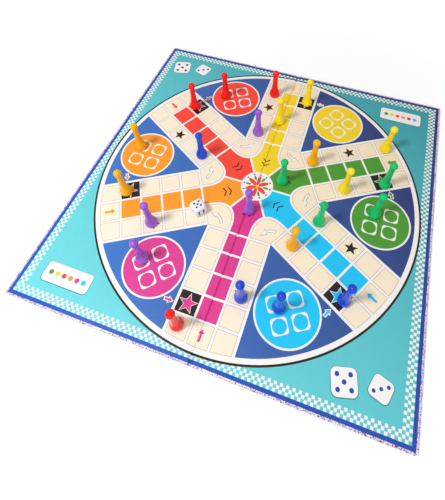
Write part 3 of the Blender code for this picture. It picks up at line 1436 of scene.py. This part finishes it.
@dataclass
class BoardCores:
    """The greyboard panels inside the cover. Their solids are right and only need their finish."""

    nodes: tuple[str, str] = ("left_board_core", "right_board_core")
    finish: Greyboard = field(default_factory=Greyboard)

    def dress(self) -> None:
        """Give both panels the greyboard finish."""
        material = self.finish.material()
        for name in self.nodes:
            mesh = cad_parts[name].data
            mesh.materials.clear()
            mesh.materials.append(material)


# The plastic of each pawn, by the colour that its node's name begins with
PAWN_PLASTICS = {
    "red": Plastic("red_pawn_plastic", (252, 30, 26), (242, 16, 18)),
    "yellow": Plastic("yellow_pawn_plastic", (255, 230, 30), (252, 218, 12)),
    "green": Plastic("green_pawn_plastic", (18, 198, 112), (10, 180, 96)),
    "blue": Plastic("blue_pawn_plastic", (26, 82, 216), (18, 62, 200)),
    "purple": Plastic("purple_pawn_plastic", (168, 102, 218), (148, 84, 204)),
    "orange": Plastic("orange_pawn_plastic", (255, 186, 10), (254, 172, 4)),
}


@dataclass
class Pawn:
    """One moulded pawn, turned from its outline and standing where its solid stands."""

    node: str
    sides: int = 20
    head_rings: int = 7
    head_radius: float = 0.0046
    head_height: float = 0.0092
    neck_share: float = 0.455
    foot_recess_share: float = 0.03
    foot_recess_width_share: float = 0.5
    smooth_below: float = 180.0
    outline_shares: tuple[Point, ...] = (
        (0.62, 0.004), (0.84, 0.001), (0.95, 0.016), (1.0, 0.045), (1.0, 0.085),
        (0.955, 0.128), (0.87, 0.170), (0.78, 0.208), (0.69, 0.250), (0.61, 0.300),
        (0.565, 0.355), (0.530, 0.420), (0.502, 0.490), (0.478, 0.570), (0.460, 0.650),
        (0.450, 0.730), (0.448, 0.774), (0.486, 0.781), (0.490, 0.794), (0.462, 0.805),
    )

    @property
    def colour(self) -> str:
        """The pawn's colour, which its node's name begins with."""
        return self.node.split("_")[0]

    def outline(self, radius: float, height: float) -> list[Point]:
        """Work out the outline from the middle of the foot to the top of the head.

        Args:
            radius: The pawn's largest radius.
            height: Its height.

        Returns:
            The radius and height of each ring.
        """
        recess = self.foot_recess_share * height
        points = [(0.0, recess), (self.foot_recess_width_share * radius, recess)]
        points += [(r * radius, z * height) for r, z in self.outline_shares]
        start = -math.acos(self.neck_share * radius / self.head_radius)
        centre = height - self.head_height / 2
        for ring_index in range(self.head_rings):
            turn = start + (math.pi / 2 - start) * ring_index / self.head_rings
            rise = self.head_height / 2 * math.sin(turn)
            points.append((self.head_radius * math.cos(turn), centre + rise))
        return points + [(0.0, height)]

    def build(self) -> bpy.types.Object:
        """Turn the pawn on its place and let it ride its own body.

        Returns:
            The finished piece.
        """
        low, high = (Vector(corner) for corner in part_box(self.node))
        middle = (low + high) / 2
        work = bmesh.new()
        outline = self.outline((high.x - low.x) / 2, high.z - low.z)
        verts = [work.verts.new((r, 0, z)) for r, z in outline]
        edges = [work.edges.new(pair) for pair in zip(verts, verts[1:])]
        sweep = {"cent": (0, 0, 0), "axis": (0, 0, 1), "angle": math.tau}
        bmesh.ops.spin(work, geom=[*verts, *edges], steps=self.sides, use_merge=True, **sweep)
        bmesh.ops.remove_doubles(work, verts=work.verts, dist=1e-6)
        bmesh.ops.recalc_face_normals(work, faces=work.faces)
        bmesh.ops.translate(work, vec=(middle.x, middle.y, low.z), verts=work.verts)
        plastic = [PAWN_PLASTICS[self.colour].material()]
        name, slot = f"{self.node}_moulding", f"{self.colour}_plastic"
        piece = add_piece(name, work, plastic, self.smooth_below)
        rounding = piece.modifiers.new("rounding", "SUBSURF")
        rounding.levels = rounding.render_levels = 2
        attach(piece, self.node)
        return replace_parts(piece, self.node)


@dataclass
class Die:
    """A die with round edges and dark pips in round hollows, five on top."""

    node: str = "die"
    size: float = 0.0150
    rounding: float = 0.0032
    rounding_steps: int = 5
    smooth_below: float = 35.0
    turn: float = -38.0
    ball_sides: int = 20
    pip_radius: float = 0.00125
    pip_depth: float = 0.0006
    pip_step: float = 0.00275
    body: Plastic = Plastic("ivory_die_plastic", (247, 247, 250), (238, 239, 244), 0.14)
    pips: Plastic = Plastic("pip_paint", (28, 30, 92), (20, 20, 70), 0.3)

    def faces(self) -> dict[int, Matrix]:
        """Work out how each face is turned.

        Returns:
            The turn that takes +Z to each face, by the number of its pips.
        """
        quarter = math.pi / 2
        return {
            5: Matrix.Identity(4),
            2: Matrix.Rotation(math.pi, 4, "X"),
            6: Matrix.Rotation(quarter, 4, "Y"),
            1: Matrix.Rotation(-quarter, 4, "Y"),
            4: Matrix.Rotation(-quarter, 4, "X"),
            3: Matrix.Rotation(quarter, 4, "X"),
        }

    def materials(self) -> list[bpy.types.Material]:
        """Give the plastic and the paint."""
        return [self.body.material(), self.pips.material()]

    def cutter(self) -> bpy.types.Object:
        """Build the balls that hollow out every pip.

        Returns:
            One object with all of them, which gives the hollows the paint.
        """
        sink, sides = self.pip_depth, self.ball_sides
        ball = (self.pip_radius**2 + sink**2) / (2 * sink)
        work = bmesh.new()
        for count, turn in self.faces().items():
            for across, along in PIPS_SHARES[count]:
                centre = (across * self.pip_step, along * self.pip_step, self.size / 2 + ball - sink)
                place = turn @ Matrix.Translation(centre)
                bmesh.ops.create_uvsphere(work, u_segments=sides, v_segments=sides, radius=ball, matrix=place)
        for face in work.faces:
            face.material_index = 1
        return add_piece("pip_cutter", work, self.materials())

    def build(self) -> bpy.types.Object:
        """Build the die on its place and let it ride its own body.

        Returns:
            The finished piece.
        """
        low, high = (Vector(corner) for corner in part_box(self.node))
        work = bmesh.new()
        bmesh.ops.create_cube(work, size=self.size)
        round_off(work, list(work.edges), self.rounding, self.rounding_steps)
        blank = add_piece("blank_die", work, self.materials())
        cutter = self.cutter()
        hollows = blank.modifiers.new("pips", "BOOLEAN")
        hollows.operation = "DIFFERENCE"
        hollows.solver = "EXACT"
        hollows.object = cutter
        graph = bpy.context.evaluated_depsgraph_get()
        mesh = bpy.data.meshes.new_from_object(blank.evaluated_get(graph))
        for tool in (blank, cutter):
            bpy.data.objects.remove(tool, do_unlink=True)
        place = Matrix.Translation((low + high) / 2) @ Matrix.Rotation(math.radians(self.turn), 4, "Z")
        mesh.transform(place)
        mesh.shade_smooth()
        mesh.set_sharp_from_angle(angle=math.radians(self.smooth_below))
        piece = add_object("die_moulding", mesh)
        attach(piece, self.node)
        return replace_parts(piece, self.node)


@dataclass(frozen=True)
class Lamp:
    """A square lamp that points at the middle of the board."""

    name: str
    place: tuple[float, float, float]
    watts: float
    size: float

    def hang(self) -> None:
        """Hang the lamp in its place."""
        lamp = bpy.data.lights.new(self.name, "AREA")
        lamp.energy, lamp.size = self.watts, self.size
        holder = add_object(self.name, lamp)
        holder.location = self.place
        holder.rotation_euler = (-Vector(self.place)).to_track_quat("-Z", "Y").to_euler()


@dataclass
class Studio:
    """A pale floor, soft lamps and a camera near the photograph's viewing angle."""

    floor_size: float = 6.0
    floor_drop: float = 0.0001
    floor_finish: PaleFloor = field(default_factory=PaleFloor)
    world_strength: float = 0.50
    lamps: tuple[Lamp, ...] = (
        Lamp("key_lamp", (-0.45, -0.42, 1.07), 8.0, 0.20),
        Lamp("fill_lamp", (0.35, -1.00, 0.60), 3.0, 0.90),
    )
    focal_length: float = 27.7
    camera_place: tuple[float, float, float] = (0.0669, -0.2260, 0.4003)
    camera_turn: tuple[float, float, float] = (0.6283, 0.0, 0.3259)
    shift: Point = (-0.054, -0.20)
    sensor_width: float = 36.0
    nearest: float = 0.01

    def add_floor(self) -> None:
        """Lay the floor, which keeps the board's shadow."""
        work = bmesh.new()
        bmesh.ops.create_grid(work, x_segments=1, y_segments=1, size=self.floor_size / 2)
        bmesh.ops.translate(work, vec=(0, 0, -self.floor_drop), verts=work.verts)
        mesh = bpy.data.meshes.new("floor")
        work.to_mesh(mesh)
        work.free()
        mesh.materials.append(self.floor_finish.material())
        floor = add_object("floor", mesh)

    def add_world(self) -> None:
        """Light everything softly from all round, and show white to the camera."""
        world = bpy.data.worlds.new("studio")
        world.use_nodes = True
        tree = NodeTree(world.node_tree)
        rays = tree.add("ShaderNodeLightPath").outputs
        seen = tree.math("MAXIMUM", rays["Is Camera Ray"], rays["Is Transmission Ray"])
        strength = tree.math("MULTIPLY_ADD", seen, 1 - self.world_strength, self.world_strength)
        sky = tree.add("ShaderNodeBackground", {"Color": (1.0, 1.0, 1.0, 1.0), "Strength": strength})
        tree.add("ShaderNodeOutputWorld", {"Surface": sky.outputs[0]})
        bpy.context.scene.world = world

    def add_camera(self) -> None:
        """Add the camera and make it the scene's own."""
        camera = bpy.data.cameras.new("camera")
        camera.lens = self.focal_length
        camera.sensor_width = self.sensor_width
        camera.shift_x, camera.shift_y = self.shift
        camera.clip_start = self.nearest
        holder = add_object("camera", camera)
        holder.location = self.camera_place
        holder.rotation_euler = self.camera_turn
        bpy.context.scene.camera = holder

    def build(self) -> None:
        """Set up the floor, the light and the camera."""
        bpy.context.scene.view_settings.view_transform = "Standard"
        self.add_floor()
        self.add_world()
        for lamp in self.lamps:
            lamp.hang()
        self.add_camera()


def main() -> None:
    """Build every class in order and report each piece."""
    logging.basicConfig(level=logging.INFO, format="%(name)s: %(message)s")
    Studio().build()
    BoardCores().dress()
    pieces = [CoverPaper().build(), *BoardPrint().build()]
    pieces += [Pawn(name).build() for name in sorted(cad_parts) if "_pawn_" in name]
    pieces.append(Die().build())
    for piece in pieces:
        LOG.info("%s: %d faces", piece.name, len(piece.data.polygons))


if __name__ == "__main__":
    main()
